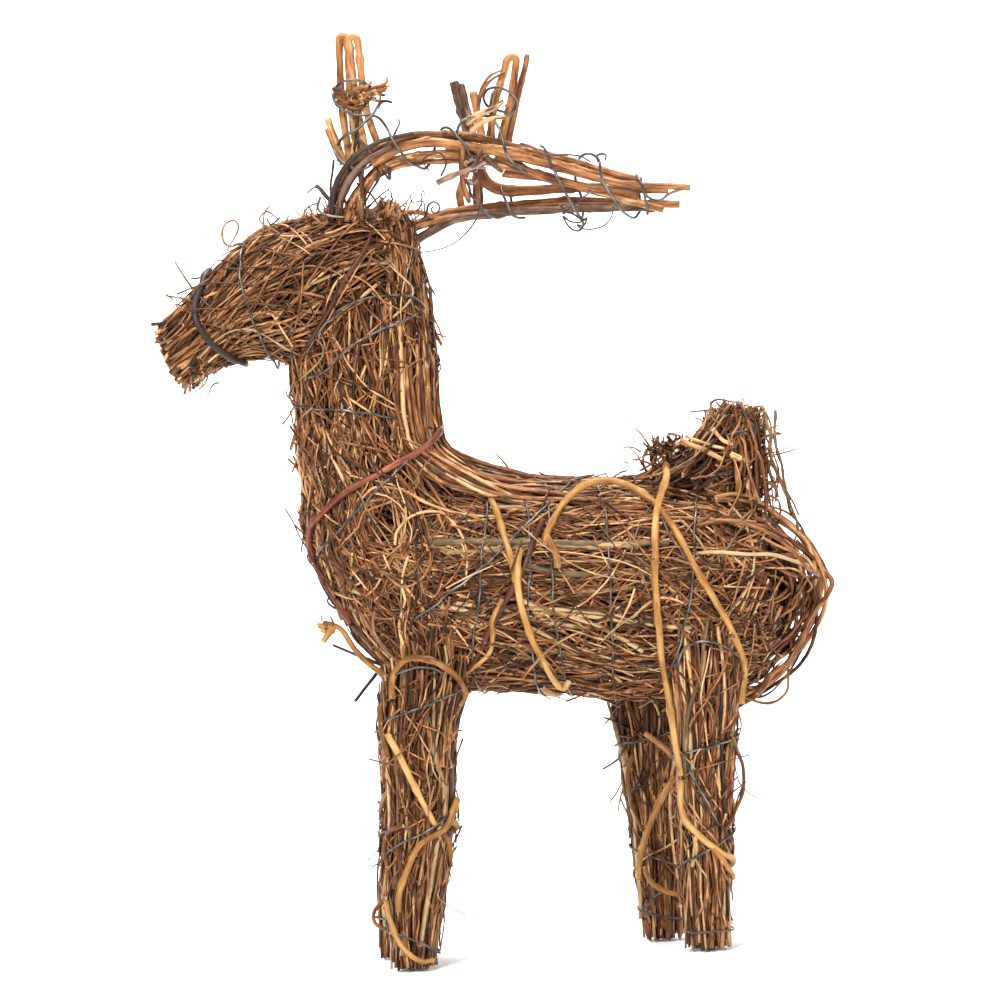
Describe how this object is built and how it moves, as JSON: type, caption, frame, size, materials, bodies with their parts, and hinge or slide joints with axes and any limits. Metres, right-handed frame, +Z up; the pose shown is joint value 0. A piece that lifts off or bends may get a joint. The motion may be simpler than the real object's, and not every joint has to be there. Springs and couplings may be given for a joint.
{
  "type": "twig reindeer figure",
  "caption": "Standing reindeer of bundled brown twigs on an inner steel frame, bound with vines and wire, with branched vine antlers.",
  "frame": {"origin": "on the ground, under the middle of the whole figure's bounding box", "axes": "-X towards the muzzle, +X towards the tail, -Y is the figure's left side, +Z up"},
  "size_m": [0.2604, 0.0876, 0.373],
  "materials": {
    "twig": "dry brown twigs with their bark, in bundles, dark between the twigs",
    "antler_wood": "peeled orange-brown vine with darker bark in streaks",
    "bark_wood": "rough dark bark",
    "golden_vine": "smooth golden tan peeled vine",
    "red_vine": "smooth dark red vine, slightly shiny",
    "dark_vine": "dark grey-brown vine",
    "steel_wire": "dull grey binding wire",
    "frame_steel": "pale grey-green coated rod"
  },
  "bodies": {
    "root": {"antler_tip_wire": "steel_wire", "back_mat": "twig", "barrel_wire": "steel_wire", "belly_mat": "twig", "belly_rod": "frame_steel", "cheek_vine": "red_vine", "chest_mat": "twig", "collar_vine": "red_vine", "front_left_leg_bundle": "twig", "front_left_leg_rod": "frame_steel", "front_left_leg_vine": "golden_vine", "front_left_leg_wire": "steel_wire", "front_right_leg_bundle": "twig", "front_right_leg_rod": "frame_steel", "front_right_leg_vine": "golden_vine", "front_right_leg_wire": "steel_wire", "golden_back_vine": "golden_vine", "golden_girth_vine": "golden_vine", "golden_haunch_vine": "golden_vine", "head_brow_bundle": "twig", "head_jaw_bundle": "twig", "head_wire": "steel_wire", "hip_hoop": "frame_steel", "left_antler_beam_1": "antler_wood", "left_antler_beam_2": "antler_wood", "left_antler_beam_3": "antler_wood", "left_antler_wire": "steel_wire", "left_brow_spur": "antler_wood", "left_brow_tine_1": "antler_wood", "left_brow_tine_2": "antler_wood", "left_flank_mat": "twig", "left_mid_spur": "antler_wood", "left_mid_tine": "antler_wood", "muzzle_vine": "dark_vine", "neck_nape_bundle": "twig", "neck_throat_bundle": "twig", "neck_wire": "steel_wire", "rear_left_leg_bundle": "twig", "rear_left_leg_rod": "frame_steel", "rear_left_leg_vine": "golden_vine", "rear_left_leg_wire": "steel_wire", "rear_right_leg_bundle": "twig", "rear_right_leg_rod": "frame_steel", "rear_right_leg_vine": "golden_vine", "rear_right_leg_wire": "steel_wire", "red_girth_vine": "red_vine", "right_antler_beam_1": "antler_wood", "right_antler_beam_2": "bark_wood", "right_antler_beam_3": "antler_wood", "right_antler_wire": "steel_wire", "right_bark_tine": "bark_wood", "right_flank_mat": "twig", "right_riser": "antler_wood", "right_short_tine": "antler_wood", "rump_nest": "twig", "shoulder_hoop": "frame_steel", "shoulder_wire": "steel_wire", "spine_rod": "frame_steel", "tail_bundle": "twig", "tail_wire": "steel_wire"}
  },
  "joints": []
}
